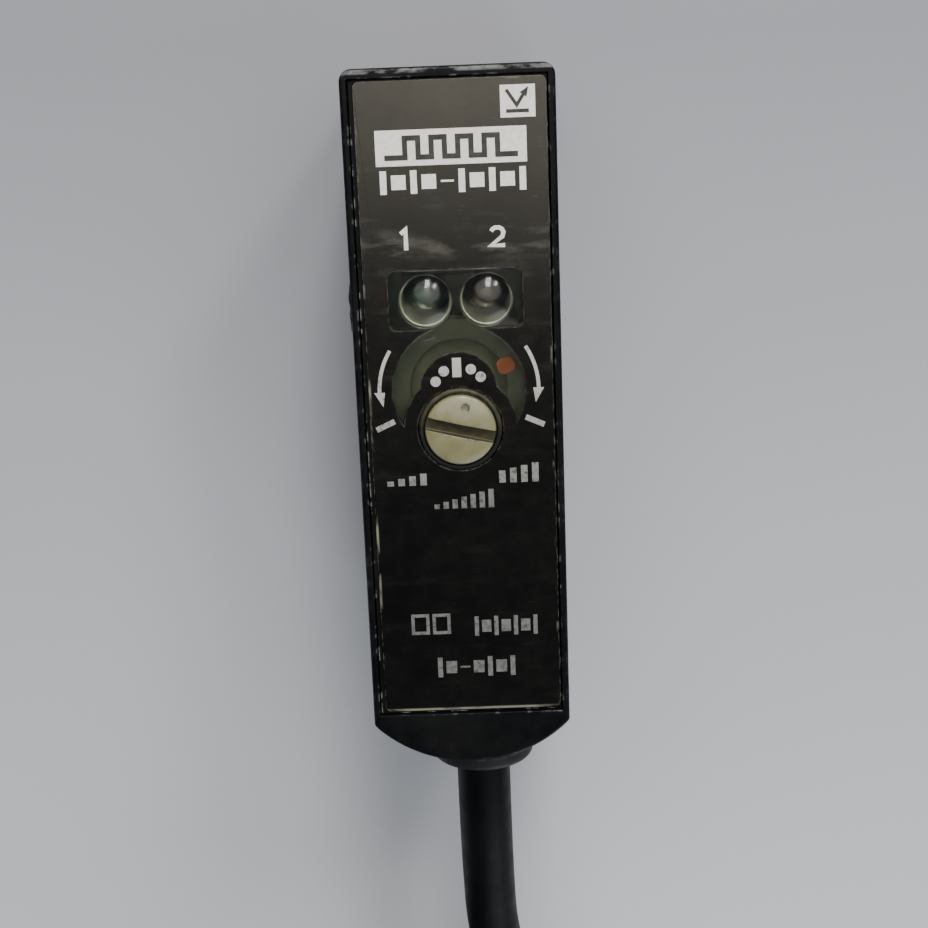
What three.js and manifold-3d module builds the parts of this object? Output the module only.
// Pre-wired photoelectric sensor with a two-turn sensitivity adjuster, lying on its back face.
// Millimetres, +Z up. X is the 17 mm width, Y runs from the lens end (-Y) to the cable end (+Y),
// and the operating panel is on top. Lengths along the body are counted from the lens face.
import * as THREE from 'three';
import { mergeVertices } from 'three/addons/utils/BufferGeometryUtils.js';
import Module from 'manifold-3d';

const wasm = await Module();
wasm.setup();

// ---------------------------------------------------------------- driving dimensions

const BODY_WIDTH = 17;
const BODY_DEPTH = 33;
const BODY_LENGTH = 59;            // lens face to the top of the rear arc
const REAR_ARC_RISE = 3.6;         // how far the rear wall bows out
const FRONT_CORNER = 1.0;
const WALL = 1.4;

const GLAND_FACE = 64;             // lens face to the outer end of the cable gland
const GLAND_RADIUS = 4.8;
const CABLE_RADIUS = 2.55;
const CABLE_X = -0.75;
const CABLE_Z = 20;

const PANEL_TOP = 32.8;            // printed film, 0.2 mm below the housing rim
const FILM_THICK = 0.15;
const COVER_THICK = 1.25;
const PANEL_START = 0.8;
const PANEL_END = 54.4;
const PANEL_HALF = 7.9;

const DIAL_CENTRE = 25.85;         // centre of the crescent scale
const KNOB_OFFSET = 3.3;           // knob axis behind the dial axis
const CRESCENT_RADIUS = 5.45;
const TONGUE_RADIUS = 3.2;         // mask over the middle of the dial
const KNOB_MASK_RADIUS = 4.75;     // mask around the knob
const KNOB_RADIUS = 2.95;
const KNOB_TOP = 33.6;
const SLOT_TURN = -13.4;           // degrees, screwdriver slot from the X axis
const POINTER_TURN = -67;          // degrees, pointer from the lens direction

const GEAR_MODULE = 0.3;
const RING_TEETH = 32;
const PINION_TEETH = 10;
const PRESSURE_ANGLE = 20 * Math.PI / 180;
const BACKLASH = 0.06;

const LED_CENTRE = 18.5;
const LED_SPACING = 5.0;
const DOME_RADIUS = 2.2;
const DOME_RISE = 0.8;             // lamp dome above the film

const LENS_UPPER_Z = 22.4;
const LENS_LOWER_Z = 9.8;
const LENS_RADIUS = 5.6;

const MOUNT_HOLE_FRONT = 24;
const MOUNT_HOLE_PITCH = 25.4;
const MOUNT_HOLE_Z = 5.5;
const MOUNT_HOLE_RADIUS = 1.6;

const HANK_NEAR = 95.5;            // lens face to the near end of the hank
const HANK_RUN = 52.3;             // straight stretch between its folds
const HANK_FOLD = 3 * 2 * CABLE_RADIUS;
const HANK_LAYERS = 5;

const CLEARANCE = 0.1;             // gap round a piece in its bore or pocket
const FIT = 0.05;                  // gap at a bonded or pressed seat
const PAST = 1;                    // how far a cutting tool runs past the face it cuts

const halfWidth = BODY_WIDTH / 2;
const lensY = -GLAND_FACE / 2;
const knobCentre = DIAL_CENTRE + KNOB_OFFSET;
const filmBottom = PANEL_TOP - FILM_THICK;
const coverBottom = filmBottom - COVER_THICK;
const cableThick = 2 * CABLE_RADIUS;

/** Y of a point that lies a given distance behind the lens face. */
const at = (distance) => lensY + distance;

const knobY = at(knobCentre);
const dialY = at(DIAL_CENTRE);

// ---------------------------------------------------------------- finishes

const finish = (color, roughness, metalness = 0) => ({ color, roughness, metalness });

const FINISH = {
  housing: finish(0x1b1c1f, 0.62),
  film: finish(0x25241d, 0.35),
  tinted: finish(0x8a8a62, 0.12),
  cream: finish(0xcfcdb8, 0.42),
  rubber: finish(0x17181a, 0.8),
  seal: finish(0x6d6b50, 0.6),
  nylon: finish(0x2c2d2a, 0.5),
  dialGrey: finish(0x5b6259, 0.55),
  pointer: finish(0xb8552a, 0.5),
  natural: finish(0xd9d6c9, 0.5),
  steel: finish(0xb9bcc0, 0.32, 1),
  brass: finish(0xb99a52, 0.35, 1),
  silver: finish(0xd2d4d2, 0.22, 1),
  board: finish(0x2f5b3a, 0.55),
  chip: finish(0x1d1e20, 0.5),
  can: finish(0x39507a, 0.35),
  greenLed: finish(0x3f7d5c, 0.15),
  redLed: finish(0x6d2b2e, 0.15),
  clear: finish(0xd6dbdc, 0.08),
  smoked: finish(0x3b1013, 0.08),
  jacket: finish(0x1d1e21, 0.55),
};

const CORE_COLOURS = [
  ['brown', 0x5a3521],
  ['blue', 0x2b4f96],
  ['black', 0x191a1c],
  ['pink', 0xc98f97],
];

// ---------------------------------------------------------------- geometry helpers

/** Geometry with position only and shared vertices, its collapsed triangles dropped. */
function welded(geometry) {
  const bare = geometry.index ? geometry.toNonIndexed() : geometry.clone();
  bare.deleteAttribute('normal');
  bare.deleteAttribute('uv');
  const merged = mergeVertices(bare, 1e-4);
  const corners = merged.index.array;
  const kept = [];
  for (let i = 0; i < corners.length; i += 3) {
    const [a, b, c] = [corners[i], corners[i + 1], corners[i + 2]];
    if (a !== b && b !== c && c !== a) kept.push(a, b, c);
  }
  merged.setIndex(kept);
  return merged;
}

function solid(geometry) {
  const shape = welded(geometry);
  return new wasm.Manifold(new wasm.Mesh({
    numProp: 3,
    vertProperties: Float32Array.from(shape.attributes.position.array),
    triVerts: Uint32Array.from(shape.index.array),
  }));
}

function geometryOf(manifold) {
  const mesh = manifold.getMesh();
  const geometry = new THREE.BufferGeometry();
  geometry.setAttribute('position', new THREE.BufferAttribute(mesh.vertProperties, 3));
  geometry.setIndex(new THREE.BufferAttribute(mesh.triVerts, 1));
  geometry.computeVertexNormals();
  return geometry;
}

const joined = (first, ...others) => others.reduce((all, part) => all.add(part), first);
const cut = (first, ...tools) => tools.reduce((rest, tool) => rest.subtract(tool), first);

function box(x0, x1, y0, y1, z0, z1) {
  const geometry = new THREE.BoxGeometry(x1 - x0, y1 - y0, z1 - z0);
  return solid(geometry.translate((x0 + x1) / 2, (y0 + y1) / 2, (z0 + z1) / 2));
}

/** Upright cylinder. */
function post(x, y, z0, z1, radius, segments = 24) {
  const geometry = new THREE.CylinderGeometry(radius, radius, z1 - z0, segments);
  return solid(geometry.rotateX(Math.PI / 2).translate(x, y, (z0 + z1) / 2));
}

/** Round bar along Y, which may taper from radius to radiusEnd. */
function barY(x, y0, y1, z, radius, radiusEnd = radius, segments = 24) {
  const geometry = new THREE.CylinderGeometry(radiusEnd, radius, y1 - y0, segments);
  return solid(geometry.translate(x, (y0 + y1) / 2, z));
}

/** Round bar along X. */
function barX(x0, x1, y, z, radius, segments = 24) {
  const geometry = new THREE.CylinderGeometry(radius, radius, x1 - x0, segments);
  return solid(geometry.rotateZ(Math.PI / 2).translate((x0 + x1) / 2, y, z));
}

/** Flat outline in XY pulled up from z0 to z1, its arcs cut into the given number of chords. */
function slab(outline, z0, z1, curveSegments = 4) {
  const settings = { depth: z1 - z0, bevelEnabled: false, curveSegments };
  return solid(new THREE.ExtrudeGeometry(outline, settings).translate(0, 0, z0));
}

/** Profile of [radius, height] pairs turned about an upright axis. */
function turned(profile, x, y, segments = 24) {
  const points = profile.map(([radius, height]) => new THREE.Vector2(radius, height));
  return solid(new THREE.LatheGeometry(points, segments).rotateX(Math.PI / 2).translate(x, y, 0));
}

/** Profile of [radius, distance] pairs turned about an axis along Y. */
function turnedAlongY(profile, x, z, segments = 24) {
  const points = profile.map(([radius, height]) => new THREE.Vector2(radius, height));
  return solid(new THREE.LatheGeometry(points, segments).translate(x, 0, z));
}

/** Tube of the given radius along a smooth route through a list of [x, y, z]. */
function tube(route, radius, sides, steps) {
  const section = new THREE.Shape();
  for (let i = 0; i < sides; i++) {
    const angle = 2 * Math.PI * i / sides;
    const [x, y] = [radius * Math.cos(angle), radius * Math.sin(angle)];
    if (i === 0) section.moveTo(x, y);
    else section.lineTo(x, y);
  }
  section.closePath();
  const path = new THREE.CatmullRomCurve3(route.map((p) => new THREE.Vector3(...p)));
  return solid(new THREE.ExtrudeGeometry(section, { steps, extrudePath: path, bevelEnabled: false }));
}

function polygon(points) {
  const shape = new THREE.Shape();
  points.forEach(([x, y], i) => (i === 0 ? shape.moveTo(x, y) : shape.lineTo(x, y)));
  shape.closePath();
  return shape;
}

function roundedRectangle(x0, x1, y0, y1, radius) {
  const shape = new THREE.Shape();
  const quarter = Math.PI / 2;
  shape.moveTo(x0 + radius, y0);
  shape.lineTo(x1 - radius, y0);
  shape.absarc(x1 - radius, y0 + radius, radius, -quarter, 0);
  shape.lineTo(x1, y1 - radius);
  shape.absarc(x1 - radius, y1 - radius, radius, 0, quarter);
  shape.lineTo(x0 + radius, y1);
  shape.absarc(x0 + radius, y1 - radius, radius, quarter, 2 * quarter);
  shape.lineTo(x0, y0 + radius);
  shape.absarc(x0 + radius, y0 + radius, radius, 2 * quarter, 3 * quarter);
  return shape;
}

const turnedAbout = (manifold, x, y, degrees) => manifold
  .translate([-x, -y, 0])
  .rotate([0, 0, degrees])
  .translate([x, y, 0]);

// ---------------------------------------------------------------- assembly

const sensor = new THREE.Group();

function piece(name, manifold, look) {
  const mesh = new THREE.Mesh(geometryOf(manifold), new THREE.MeshStandardMaterial(look));
  mesh.name = name;
  sensor.add(mesh);
}

// ---------------------------------------------------------------- casing

function bodyOutline() {
  const shape = new THREE.Shape();
  const shoulder = BODY_LENGTH - REAR_ARC_RISE;
  const arcRadius = (halfWidth ** 2 + REAR_ARC_RISE ** 2) / (2 * REAR_ARC_RISE);
  const spread = Math.asin(halfWidth / arcRadius);
  const arcCentre = at(BODY_LENGTH) - arcRadius;
  const quarter = Math.PI / 2;
  shape.moveTo(-halfWidth + FRONT_CORNER, at(0));
  shape.lineTo(halfWidth - FRONT_CORNER, at(0));
  shape.absarc(halfWidth - FRONT_CORNER, at(FRONT_CORNER), FRONT_CORNER, -quarter, 0);
  shape.lineTo(halfWidth, at(shoulder));
  shape.absarc(0, arcCentre, arcRadius, quarter - spread, quarter + spread);
  shape.lineTo(-halfWidth, at(FRONT_CORNER));
  shape.absarc(-halfWidth + FRONT_CORNER, at(FRONT_CORNER), FRONT_CORNER, 2 * quarter, 3 * quarter);
  return shape;
}

const cavityHalf = halfWidth - WALL;
const cavityFront = 3.6;
const cavityFloor = 1.5;
const rearWallFront = 52.5;
const lensSeatHalf = 7.2;
const lensSeatDepth = 2.2;
const lensSeatBottom = 2.5;
const lensSeatTop = 29.7;
const lensSill = 0.7;              // the opening behind the seat is smaller by this on every side
const gasketLedge = 30.9;
const glandNeckRadius = 3.6;
const glandPocketStart = 56;
const sleeveRadius = 2.4;

function makeHousing() {
  const above = BODY_DEPTH + PAST;
  const seatHalf = lensSeatHalf;
  const openHalf = lensSeatHalf - lensSill;
  const neckBore = glandNeckRadius + CLEARANCE;
  const [seatBottom, seatTop] = [lensSeatBottom + lensSill, lensSeatTop - lensSill];
  return cut(
    slab(bodyOutline(), 0, BODY_DEPTH, 12),
    box(-cavityHalf, cavityHalf, at(cavityFront), at(rearWallFront), cavityFloor, above),
    box(-PANEL_HALF, PANEL_HALF, at(PANEL_START), at(PANEL_END), gasketLedge, above),
    box(-seatHalf, seatHalf, at(-PAST), at(lensSeatDepth), lensSeatBottom, lensSeatTop),
    box(-openHalf, openHalf, at(PAST), at(cavityFront + 0.4), seatBottom, seatTop),
    barY(CABLE_X, at(rearWallFront - PAST), at(BODY_LENGTH), CABLE_Z, neckBore),
    barY(CABLE_X, at(glandPocketStart), at(BODY_LENGTH + PAST), CABLE_Z, GLAND_RADIUS + CLEARANCE),
    ...mountHoles().map((y) => (
      barX(-halfWidth - PAST, halfWidth + PAST, y, MOUNT_HOLE_Z, sleeveRadius + CLEARANCE)
    )),
  );
}

const mountHoles = () => [at(MOUNT_HOLE_FRONT), at(MOUNT_HOLE_FRONT + MOUNT_HOLE_PITCH)];

function makeMountSleeves() {
  mountHoles().forEach((y, i) => {
    const body = barX(-halfWidth, halfWidth, y, MOUNT_HOLE_Z, sleeveRadius);
    const bore = barX(-halfWidth - PAST, halfWidth + PAST, y, MOUNT_HOLE_Z, MOUNT_HOLE_RADIUS);
    piece(`mounting_sleeve_${i + 1}`, cut(body, bore), FINISH.steel);
  });
}

// ---------------------------------------------------------------- operating panel

const windowHalf = 5.4;
const windowStart = 15.95;
const windowEnd = 20.75;
const filmLeft = -7.75;
const filmRight = 7.45;
const filmStart = 1.0;
const filmEnd = 54.1;

const knobHoleRadius = 3.5;
const knobNeckHole = 2.25;
const windowBottom = 31.85;
const windowPlateRadius = 6.6;
const windowPlateShift = 1.6;      // plate centre behind the dial centre

/** Solid that fills the see-through parts of the panel between two heights. */
function sightArea(z0, z1, gap = 0) {
  const half = windowHalf + gap;
  const lampPart = roundedRectangle(
    -half, half, at(windowStart - gap), at(windowEnd + gap), 0.5 + gap,
  );
  const outer = post(0, dialY, z0, z1, CRESCENT_RADIUS + gap, 40);
  const tongue = post(0, dialY, z0 - PAST, z1 + PAST, TONGUE_RADIUS - gap, 28);
  const knobMask = post(0, knobY, z0 - PAST, z1 + PAST, KNOB_MASK_RADIUS - gap, 36);
  return joined(cut(outer, tongue, knobMask), slab(lampPart, z0, z1));
}

/** Plate under the film that carries the lamp window, the crescent and the knob bearing. */
function windowPlate(z0, z1, gap = 0) {
  const half = 6 + gap;
  const lampPart = roundedRectangle(-half, half, at(15.4 - gap), at(26 + gap), 0.6 + gap);
  return joined(
    post(0, dialY + windowPlateShift, z0, z1, windowPlateRadius + gap, 36),
    slab(lampPart, z0, z1),
  );
}

function makeTopCover() {
  const half = PANEL_HALF - CLEARANCE;
  const [start, end] = [at(PANEL_START + CLEARANCE), at(PANEL_END - CLEARANCE)];
  const plate = box(-half, half, start, end, coverBottom, filmBottom);
  return cut(plate, windowPlate(coverBottom - PAST, filmBottom + PAST, CLEARANCE));
}

function makeFilm() {
  const outline = roundedRectangle(filmLeft, filmRight, at(filmStart), at(filmEnd), 0.5);
  const [below, above] = [filmBottom - PAST, PANEL_TOP + PAST];
  return cut(
    slab(outline, filmBottom, PANEL_TOP),
    sightArea(below, above, FIT),
    post(0, knobY, below, above, knobHoleRadius + FIT, 32),
  );
}

/** Turned profile of a lamp dome from its rim up to its crown. */
function domeCap() {
  const ball = (DOME_RADIUS ** 2 + DOME_RISE ** 2) / (2 * DOME_RISE);
  const crown = PANEL_TOP + DOME_RISE;
  const cap = [1, 0.8, 0.5, 0.2].map((share) => {
    const radius = share * DOME_RADIUS;
    return [radius, crown - ball + Math.sqrt(ball ** 2 - radius ** 2)];
  });
  return [...cap, [0, crown]];
}

function makeWindow() {
  const plate = windowPlate(windowBottom, filmBottom);
  const raised = sightArea(filmBottom - 0.2, PANEL_TOP);
  const profile = [[0, windowBottom], [DOME_RADIUS, windowBottom], ...domeCap()];
  const domes = [-1, 1].map((side) => turned(profile, side * LED_SPACING / 2, at(LED_CENTRE)));
  const knobWell = post(0, knobY, windowBottom + 0.3, PANEL_TOP + PAST, knobHoleRadius, 32);
  const neckHole = post(0, knobY, windowBottom - PAST, windowBottom + PAST, knobNeckHole, 32);
  return cut(joined(plate, raised, ...domes), knobWell, neckHole);
}

function makeCoverGasket() {
  const [outer, inner] = [PANEL_HALF - FIT, cavityHalf + FIT];
  const [start, end] = [at(PANEL_START + FIT), at(PANEL_END - FIT)];
  const [holeStart, holeEnd] = [at(cavityFront - FIT), at(rearWallFront + FIT)];
  return cut(
    box(-outer, outer, start, end, gasketLedge, coverBottom),
    box(-inner, inner, holeStart, holeEnd, gasketLedge - PAST, coverBottom + PAST),
  );
}

// ---------------------------------------------------------------- adjuster and indicator dial

const dialTop = 31.0;
const dialFaceThick = 0.4;
const dialRadius = 5.7;
const dialBore = 4.0;
const ringTop = dialTop - dialFaceThick;
const ringBottom = 29.4;
const dialFloorBottom = 28.95;
const hubRadius = 1.2;
const hubBottom = 27.1;
const keyBottom = 26.0;
const keyWidth = 0.44;

const knobNeckRadius = 2.15;
const knobBottom = 31.25;          // underside of the knob's collar
const grooveRadius = 1.6;          // groove for the retaining ring
const grooveBottom = 31.45;
const grooveTop = 31.76;
const knobShoulder = 32.2;         // underside of the knob's head
const knobBevel = 0.25;
const slotWidth = 1.0;
const slotDepth = 0.75;
const shaftRadius = 0.6;
const shaftTop = 32.1;
const pinionBottom = 29.5;
const pinionTop = 30.45;

const carrierTop = 28.75;
const boardTop = 24.4;             // upper face of the indicator board
const partSeat = boardTop + FIT;

const involute = (angle) => Math.tan(angle) - angle;

/** Outline of an involute gear whose tooth (or tooth space, for a ring) is thinned by slack. */
function gearOutline(teeth, rootRadius, tipRadius, slack) {
  const pitchRadius = teeth * GEAR_MODULE / 2;
  const baseRadius = pitchRadius * Math.cos(PRESSURE_ANGLE);
  const halfTooth = Math.PI / (2 * teeth) - slack / (2 * pitchRadius);
  const flankStart = Math.max(rootRadius, baseRadius);
  const flank = [0, 0.5, 1].map((share) => {
    const radius = flankStart + share * (tipRadius - flankStart);
    const turn = involute(PRESSURE_ANGLE) - involute(Math.acos(baseRadius / radius));
    return [radius, halfTooth + turn];
  });
  if (flankStart > rootRadius) flank.unshift([rootRadius, flank[0][1]]);
  const points = [];
  for (let i = 0; i < teeth; i++) {
    const middle = Math.PI / 2 + 2 * Math.PI * i / teeth;
    const rising = flank.map(([radius, half]) => [radius, middle - half]);
    const falling = flank.map(([radius, half]) => [radius, middle + half]).reverse();
    points.push(...rising, ...falling);
  }
  return points.map(([radius, angle]) => [radius * Math.cos(angle), radius * Math.sin(angle)]);
}

const pitchRadiusOf = (teeth) => teeth * GEAR_MODULE / 2;

function makeIndicatorDial() {
  const pitch = pitchRadiusOf(RING_TEETH);
  const spaces = polygon(gearOutline(RING_TEETH, pitch - 0.24, pitch + 0.36, -BACKLASH));
  const toothing = slab(spaces, ringBottom, ringTop + PAST).translate([0, dialY, 0]);
  const cup = post(0, dialY, dialFloorBottom, ringTop, dialRadius, 48);
  const hub = post(0, dialY, hubBottom, dialFloorBottom, hubRadius);
  const key = box(-0.85, 0.85, dialY - keyWidth / 2, dialY + keyWidth / 2, keyBottom, hubBottom);
  return joined(cut(cup, toothing), hub, key);
}

function makeDialFace() {
  return cut(
    post(0, dialY, ringTop, dialTop, dialRadius, 48),
    post(0, dialY, ringTop - PAST, dialTop + PAST, dialBore, 32),
  );
}

function makePointer() {
  const tab = roundedRectangle(-0.65, 0.65, -5.0, -3.5, 0.5);
  return turnedAbout(slab(tab, dialTop, dialTop + 0.15), 0, 0, POINTER_TURN).translate([0, dialY, 0]);
}

function makeKnob() {
  const profile = [
    [0, knobBottom],
    [knobNeckRadius, knobBottom],
    [knobNeckRadius, grooveBottom],
    [grooveRadius, grooveBottom],
    [grooveRadius, grooveTop],
    [knobNeckRadius, grooveTop],
    [knobNeckRadius, knobShoulder],
    [KNOB_RADIUS, knobShoulder],
    [KNOB_RADIUS, KNOB_TOP - knobBevel],
    [KNOB_RADIUS - knobBevel, KNOB_TOP],
    [0, KNOB_TOP],
  ];
  const [near, far] = [knobY - slotWidth / 2, knobY + slotWidth / 2];
  const slot = box(-4, 4, near, far, KNOB_TOP - slotDepth, KNOB_TOP + PAST);
  const shaftHole = post(0, knobY, knobBottom - PAST, shaftTop + CLEARANCE, shaftRadius + FIT, 16);
  return cut(turned(profile, 0, knobY, 28), turnedAbout(slot, 0, knobY, SLOT_TURN), shaftHole);
}

function makePinion() {
  const pitch = pitchRadiusOf(PINION_TEETH);
  const outline = polygon(gearOutline(PINION_TEETH, pitch - 0.36, pitch + 0.27, BACKLASH));
  const gear = slab(outline, pinionBottom, pinionTop).translate([0, knobY, 0]);
  return joined(gear, post(0, knobY, pinionTop - FIT, shaftTop, shaftRadius, 16));
}

/** Open ring that snaps into the knob's groove below the window plate. */
function makeRetainingRing() {
  const [bottom, top] = [grooveBottom + 0.03, grooveTop - 0.03];
  const ring = post(0, knobY, bottom, top, 2.7, 24);
  const bore = post(0, knobY, bottom - PAST, top + PAST, grooveRadius + FIT, 24);
  const mouth = box(-0.9, 0.9, knobY, knobY + 4, bottom - PAST, top + PAST);
  return cut(ring, bore, mouth);
}

function makeOring() {
  const top = 33.0;
  const ring = post(0, knobY, knobShoulder, top, knobHoleRadius - 0.04, 32);
  return cut(ring, post(0, knobY, knobShoulder - PAST, top + PAST, KNOB_RADIUS + 0.08, 32));
}

/** Bridge that stands on the indicator board and carries the dial over the trimmer. */
function makeDialCarrier() {
  const thick = 1;
  const legHalf = 0.7;
  const plate = box(-6.9, 6.9, at(20.9), at(31.6), carrierTop - thick, carrierTop);
  const legs = [-6.1, 6.1].flatMap((x) => [at(22.2), at(30.4)].map((y) => (
    box(x - legHalf, x + legHalf, y - legHalf, y + legHalf, partSeat, carrierTop - thick / 2)
  )));
  const bore = post(0, dialY, carrierTop - thick - PAST, carrierTop + PAST, hubRadius + CLEARANCE);
  return cut(joined(plate, ...legs), bore);
}

function makeTrimmer() {
  const [half, top, rotorRadius, rotorTop, wellFloor] = [2.5, 26.75, 1.65, 26.7, 25.4];
  const body = box(-half, half, dialY - half, dialY + half, partSeat, top);
  const well = post(0, dialY, wellFloor, top + PAST, rotorRadius + CLEARANCE);
  piece('trimmer_body', cut(body, well), FINISH.natural);
  const rotor = post(0, dialY, wellFloor + CLEARANCE, rotorTop, rotorRadius);
  const slot = box(-3, 3, dialY - 0.3, dialY + 0.3, keyBottom - CLEARANCE, rotorTop + PAST);
  piece('trimmer_rotor', cut(rotor, slot), FINISH.brass);
}

// ---------------------------------------------------------------- indicator lamps

const LAMPS = [['stability', 1, FINISH.greenLed], ['output', -1, FINISH.redLed]];

function makeLamps() {
  const [baseRadius, lampRadius, lampShoulder, lampTop] = [0.92, 0.6, 30.6, 30.95];
  const [cupRadius, cupBore, cupBottom, cupTop] = [1.75, 0.68, 28.4, 31.5];
  const y = at(LED_CENTRE);
  const lamp = [
    [0, partSeat + FIT],
    [baseRadius, partSeat + FIT],
    [baseRadius, cupBottom - 0.15],
    [lampRadius, cupBottom + FIT],
    [lampRadius, lampShoulder],
    [0.7 * lampRadius, lampTop - 0.1],
    [0, lampTop],
  ];
  const cup = [
    [cupBore, cupBottom],
    [cupRadius, cupBottom],
    [cupRadius, cupTop],
    [cupRadius - 0.1, cupTop],
    [cupBore, cupBottom + 0.5],
    [cupBore, cupBottom],
  ];
  for (const [name, side, look] of LAMPS) {
    const x = side * LED_SPACING / 2;
    piece(`${name}_led`, turned(lamp, x, y, 16), look);
    piece(`${name}_reflector`, turned(cup, x, y, 24), FINISH.silver);
  }
  const holderTop = cupBottom - CLEARANCE;
  const block = box(-4.6, 4.6, at(16.8), at(20.0), partSeat, holderTop);
  const bores = LAMPS.map(([, side]) => (
    post(side * LED_SPACING / 2, y, partSeat - PAST, holderTop + PAST, baseRadius + CLEARANCE, 16)
  ));
  piece('led_holder', cut(block, ...bores), FINISH.nylon);
}

// ---------------------------------------------------------------- optics

// Distances behind the lens face.
const paneStart = 0.3;
const paneEnd = 1.8;
const lensGasketEnd = 2.15;
const lensFlangeStart = 2.4;
const lensFlangeEnd = 3.3;
const opticsBoardStart = 14.1;
const opticsBoardEnd = 14.9;

const paneHalf = lensSeatHalf - CLEARANCE;
const paneBottom = lensSeatBottom + CLEARANCE;
const paneTop = lensSeatTop - CLEARANCE;
const throatRadius = 2.65;         // opening between the lens cone and the diode pocket

const lensCentres = [['emitter', LENS_UPPER_Z], ['receiver', LENS_LOWER_Z]];

function makeLensCover() {
  return box(-paneHalf, paneHalf, at(paneStart), at(paneEnd), paneBottom, paneTop);
}

function makeLensGasket() {
  const [half, bottom, top] = [6.4, 3.3, 28.9];
  const start = at(paneEnd + FIT);
  const end = at(lensGasketEnd);
  const ring = box(-paneHalf, paneHalf, start, end, paneBottom, paneTop);
  return cut(ring, box(-half, half, start - PAST, end + PAST, bottom, top));
}

function makeLenses() {
  const profile = [
    [0, at(lensFlangeStart)],
    [LENS_RADIUS, at(lensFlangeStart)],
    [LENS_RADIUS, at(lensFlangeEnd)],
    [4.4, at(3.95)],
    [2.4, at(4.5)],
    [0, at(4.7)],
  ];
  for (const [name, z] of lensCentres) {
    piece(`${name}_lens`, turnedAlongY(profile, 0, z, 24), FINISH.clear);
  }
}

/** Block with a stepped and tapered bore behind each lens. */
function makeLensHolder() {
  const [half, bottom, top] = [6.3, 3.4, 28.8];
  const [start, end] = [lensFlangeStart - FIT, 13.0];
  const [coneStart, coneEnd, coneRadius] = [3.5, 10.6, 5.2];
  const flangeBore = LENS_RADIUS + CLEARANCE;
  const block = box(-half, half, at(start), at(end), bottom, top);
  const bores = lensCentres.flatMap(([, z]) => [
    barY(0, at(start - PAST), at(coneStart + 0.1), z, flangeBore, flangeBore, 32),
    barY(0, at(coneStart), at(coneEnd), z, coneRadius, throatRadius, 32),
    barY(0, at(coneEnd - 0.1), at(end + PAST), z, throatRadius),
  ]);
  return cut(block, ...bores);
}

function makeOpticElectronics() {
  const baseEnd = opticsBoardStart - CLEARANCE;
  const dome = [
    [0, at(8.4)],
    [1.6, at(8.9)],
    [2.4, at(10.5)],
    [2.4, at(12.9)],
    [2.55, at(13.1)],
    [2.55, at(baseEnd)],
    [0, at(baseEnd)],
  ];
  piece('emitter_led', turnedAlongY(dome, 0, LENS_UPPER_Z), FINISH.clear);
  const [half, start] = [1.7, 12.2];
  const diode = box(-half, half, at(start), at(baseEnd), LENS_LOWER_Z - half, LENS_LOWER_Z + half);
  piece('receiver_photodiode', diode, FINISH.chip);
  const board = box(-6.6, 6.6, at(opticsBoardStart), at(opticsBoardEnd), 2.8, 23.2);
  piece('optics_board', board, FINISH.board);
}

/** Metal can, open towards the optics board, over the receiver's amplifier. */
function makeShield() {
  const [half, bottom, top, sheet] = [5.2, 4.2, 15.2, 0.4];
  const [start, end] = [opticsBoardEnd + CLEARANCE, 18.2];
  const can = box(-half, half, at(start), at(end), bottom, top);
  const inside = box(
    -half + sheet, half - sheet, at(start - 0.5), at(end - sheet), bottom + sheet, top - sheet,
  );
  piece('receiver_shield', cut(can, inside), FINISH.silver);
}

// ---------------------------------------------------------------- electronics

const boardFace = 3.2;             // -X face of the main board
const boardThick = 1;
const boardBack = boardFace + boardThick + CLEARANCE;

function makeBoards() {
  const indicatorBoard = box(-6.9, 6.9, at(16), at(45), boardTop - boardThick, boardTop);
  const headerSlot = box(-1, 1, at(30), at(32), boardTop - boardThick - PAST, boardTop + PAST);
  piece('indicator_board', cut(indicatorBoard, headerSlot), FINISH.board);
  const mainBoard = box(boardFace, boardFace + boardThick, at(19), at(46), 9.3, 23.1);
  piece('main_board', mainBoard, FINISH.board);
  piece('board_header', box(boardBack, boardBack + 2.3, at(27), at(37), 20.6, 23.3), FINISH.nylon);
}

/** Components on the -X face of the main board: name, start, length, bottom, height, thickness. */
const CHIPS = [
  ['control_ic', 23, 8, 13, 6.4, 1.6],
  ['amplifier_ic', 33, 5, 13.5, 5, 1.5],
  ['output_transistor', 40, 3.2, 12, 4.6, 2.3],
];

function makeComponents() {
  const seat = boardFace - CLEARANCE;
  for (const [name, start, length, bottom, height, thick] of CHIPS) {
    const chip = box(seat - thick, seat, at(start), at(start + length), bottom, bottom + height);
    piece(name, chip, FINISH.chip);
  }
  piece('smoothing_capacitor', barY(-3.4, at(24), at(32), 14.5, 2.5), FINISH.can);
  const suppressor = box(boardBack, boardBack + 1.8, at(39.5), at(43), 12, 16.5);
  piece('surge_suppressor', suppressor, FINISH.cream);
}

// ---------------------------------------------------------------- cable entry

const jacketStart = 47;
const jacketBore = CABLE_RADIUS + CLEARANCE;
const flangeStart = 51.2;          // inner flange of the gland, against the rear wall
const flangeRadius = 4.5;

function makeGland() {
  const face = at(GLAND_FACE);
  const neckStart = rearWallFront - CLEARANCE;
  const collarStart = glandPocketStart + CLEARANCE;
  const profile = [
    [jacketBore, at(flangeStart)],
    [flangeRadius, at(flangeStart)],
    [flangeRadius, at(neckStart)],
    [glandNeckRadius, at(neckStart)],
    [glandNeckRadius, at(collarStart)],
    [GLAND_RADIUS, at(collarStart)],
    [GLAND_RADIUS, face - 0.45],
    [GLAND_RADIUS - 0.35, face - 0.1],
    [GLAND_RADIUS - 0.8, face],
    [jacketBore + 0.65, face],
    [jacketBore + 0.2, face - 0.5],
    [jacketBore, face - 0.5],
    [jacketBore, at(flangeStart)],
  ];
  return turnedAlongY(profile, CABLE_X, CABLE_Z, 24);
}

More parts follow.
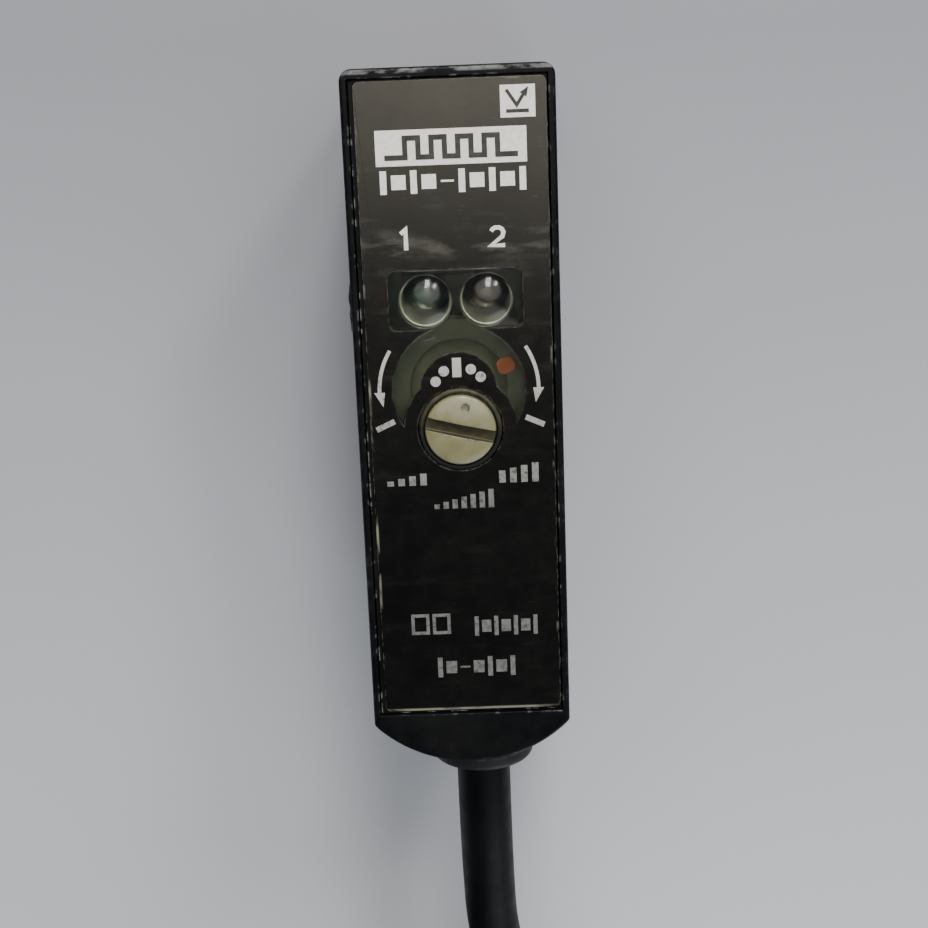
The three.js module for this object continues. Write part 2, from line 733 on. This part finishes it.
function makeJacketEnd() {
  const jacket = barY(CABLE_X, at(jacketStart), at(GLAND_FACE - 0.6), CABLE_Z, CABLE_RADIUS);
  piece('cable_jacket_end', jacket, FINISH.jacket);
  const [start, end, radius] = [48.4, 50.9, 3.3];
  const clamp = barY(CABLE_X, at(start), at(end), CABLE_Z, radius);
  const bore = barY(CABLE_X, at(start - PAST), at(end + PAST), CABLE_Z, jacketBore);
  piece('cable_clamp', cut(clamp, bore), FINISH.steel);
}

/** Cores from the stripped end of the jacket to their pads beside the main board. */
function makeInnerCores() {
  const coreRadius = 0.45;
  const spread = 1.1;
  const pad = boardFace - 0.9;
  CORE_COLOURS.forEach(([name, colour], i) => {
    const nearBoard = i % 2 === 1;
    const x = CABLE_X + (nearBoard ? spread : -spread);
    const z = CABLE_Z + (i < 2 ? spread : -spread);
    const bend = at(nearBoard ? 45.2 : 42.8);
    const route = [
      [x, at(jacketStart - 0.3), z],
      [x, bend + 0.9, z],
      [(2 * x + pad) / 3, bend, z],
      [(x + 2 * pad) / 3, bend - 0.4, z],
      [pad, bend - 0.5, z],
    ];
    piece(`inner_core_${name}`, tube(route, coreRadius, 6, 8), finish(colour, 0.5));
  });
}

// ---------------------------------------------------------------- free cable

const hankOuter = HANK_FOLD + cableThick;               // fold radius of the outer column
const hankX = -halfWidth + hankOuter + CABLE_RADIUS;
const hankNearY = at(HANK_NEAR) + hankOuter + CABLE_RADIUS;
const hankFarY = hankNearY + HANK_RUN;
const hankHeight = HANK_LAYERS * cableThick;

/** Route of the cable from the gland to the side of the hank, chosen by hand. */
const CABLE_ROUTE = [
  [CABLE_X, at(GLAND_FACE) + 0.3, CABLE_Z],
  [CABLE_X, 36.5, 19.95],
  [-0.78, 41, 19.6],
  [-0.85, 46, 18.9],
  [-1.05, 51, 18.1],
  [-1.8, 56, 17.5],
  [-3.1, 61, 17.3],
  [-4.5, 66, 17.45],
  [-5.5, 71.2, 17.7],
];

function stadium(radius) {
  const shape = new THREE.Shape();
  shape.absarc(hankX, hankNearY, radius, Math.PI, 2 * Math.PI);
  shape.absarc(hankX, hankFarY, radius, 0, Math.PI);
  shape.closePath();
  return shape;
}

const tieWidth = 3.4;
const tieThick = 0.8;
const tieY = (hankNearY + hankFarY) / 2;

/** Band around one side of the hank, grown by a gap on every side. */
function tieBand(side, gap) {
  const [outer, inner] = [hankOuter + CABLE_RADIUS, HANK_FOLD - CABLE_RADIUS];
  const [a, b] = [hankX + side * (inner - tieThick), hankX + side * outer];
  const [x0, x1] = [Math.min(a, b), Math.max(a, b)];
  const half = tieWidth / 2 + gap;
  const skin = tieThick + gap;
  const band = box(x0 - gap, x1 + gap, tieY - half, tieY + half, -gap, hankHeight + skin);
  const reach = half + PAST;
  const inside = box(x0 + skin, x1 - skin, tieY - reach, tieY + reach, skin, hankHeight - gap);
  return cut(band, inside);
}

/** Locking head of a tie, inside the hank. */
function tieHead(side) {
  const [halfX, halfY, bottom, top] = [1.6, 2.4, 15, 19.4];
  const x = hankX + side * (HANK_FOLD - CABLE_RADIUS - halfX - 0.6);
  return box(x - halfX, x + halfX, tieY - halfY, tieY + halfY, bottom, top);
}

function makeHank() {
  const ring = cut(
    slab(stadium(hankOuter + CABLE_RADIUS), 0, hankHeight, 20),
    slab(stadium(HANK_FOLD - CABLE_RADIUS), -PAST, hankHeight + PAST, 20),
  );
  const tieGap = 0.3;
  piece('cable_hank', cut(ring, tieBand(-1, tieGap), tieBand(1, tieGap)), FINISH.jacket);
  [-1, 1].forEach((side, i) => {
    piece(`hank_tie_${i + 1}`, joined(tieBand(side, 0), tieHead(side)), FINISH.natural);
  });
}

/** Stripped cores lying on the near fold of the hank. */
function makeCoreTails() {
  const coreRadius = 0.7;
  const z = hankHeight + 1.1;
  const [x0, y0] = [hankX + HANK_FOLD + 0.8, hankNearY + 12];
  CORE_COLOURS.forEach(([name, colour], i) => {
    const fan = i - (CORE_COLOURS.length - 1) / 2;
    const route = [
      [x0 + 1.9 * fan, y0, z],
      [x0 + 2.4 * fan - 0.4, y0 - 8, z],
      [x0 + 3.4 * fan - 2.4, y0 - 17, z],
      [x0 + 4.4 * fan - 6.2, y0 - 26 - 0.7 * fan, z],
    ];
    piece(`core_tail_${name}`, tube(route, coreRadius, 8, 12), finish(colour, 0.5));
  });
}

// ---------------------------------------------------------------- build

piece('housing', makeHousing(), FINISH.housing);
makeMountSleeves();

piece('top_cover', makeTopCover(), FINISH.housing);
piece('label_film', makeFilm(), FINISH.film);
piece('indicator_window', makeWindow(), FINISH.tinted);
piece('cover_gasket', makeCoverGasket(), FINISH.rubber);

piece('adjuster_knob', makeKnob(), FINISH.cream);
piece('pinion_shaft', makePinion(), FINISH.nylon);
piece('retaining_ring', makeRetainingRing(), FINISH.steel);
piece('knob_o_ring', makeOring(), FINISH.seal);
piece('indicator_dial', makeIndicatorDial(), FINISH.dialGrey);
piece('dial_face', makeDialFace(), FINISH.dialGrey);
piece('dial_pointer', makePointer(), FINISH.pointer);
piece('dial_carrier', makeDialCarrier(), FINISH.nylon);
makeTrimmer();
makeLamps();

piece('lens_cover', makeLensCover(), FINISH.smoked);
piece('lens_gasket', makeLensGasket(), FINISH.rubber);
makeLenses();
piece('lens_holder', makeLensHolder(), FINISH.nylon);
makeOpticElectronics();
makeShield();

makeBoards();
makeComponents();

piece('cable_gland', makeGland(), FINISH.rubber);
makeJacketEnd();
makeInnerCores();
piece('cable_lead', tube(CABLE_ROUTE, CABLE_RADIUS, 10, 9), FINISH.jacket);
makeHank();
makeCoreTails();

export default sensor;
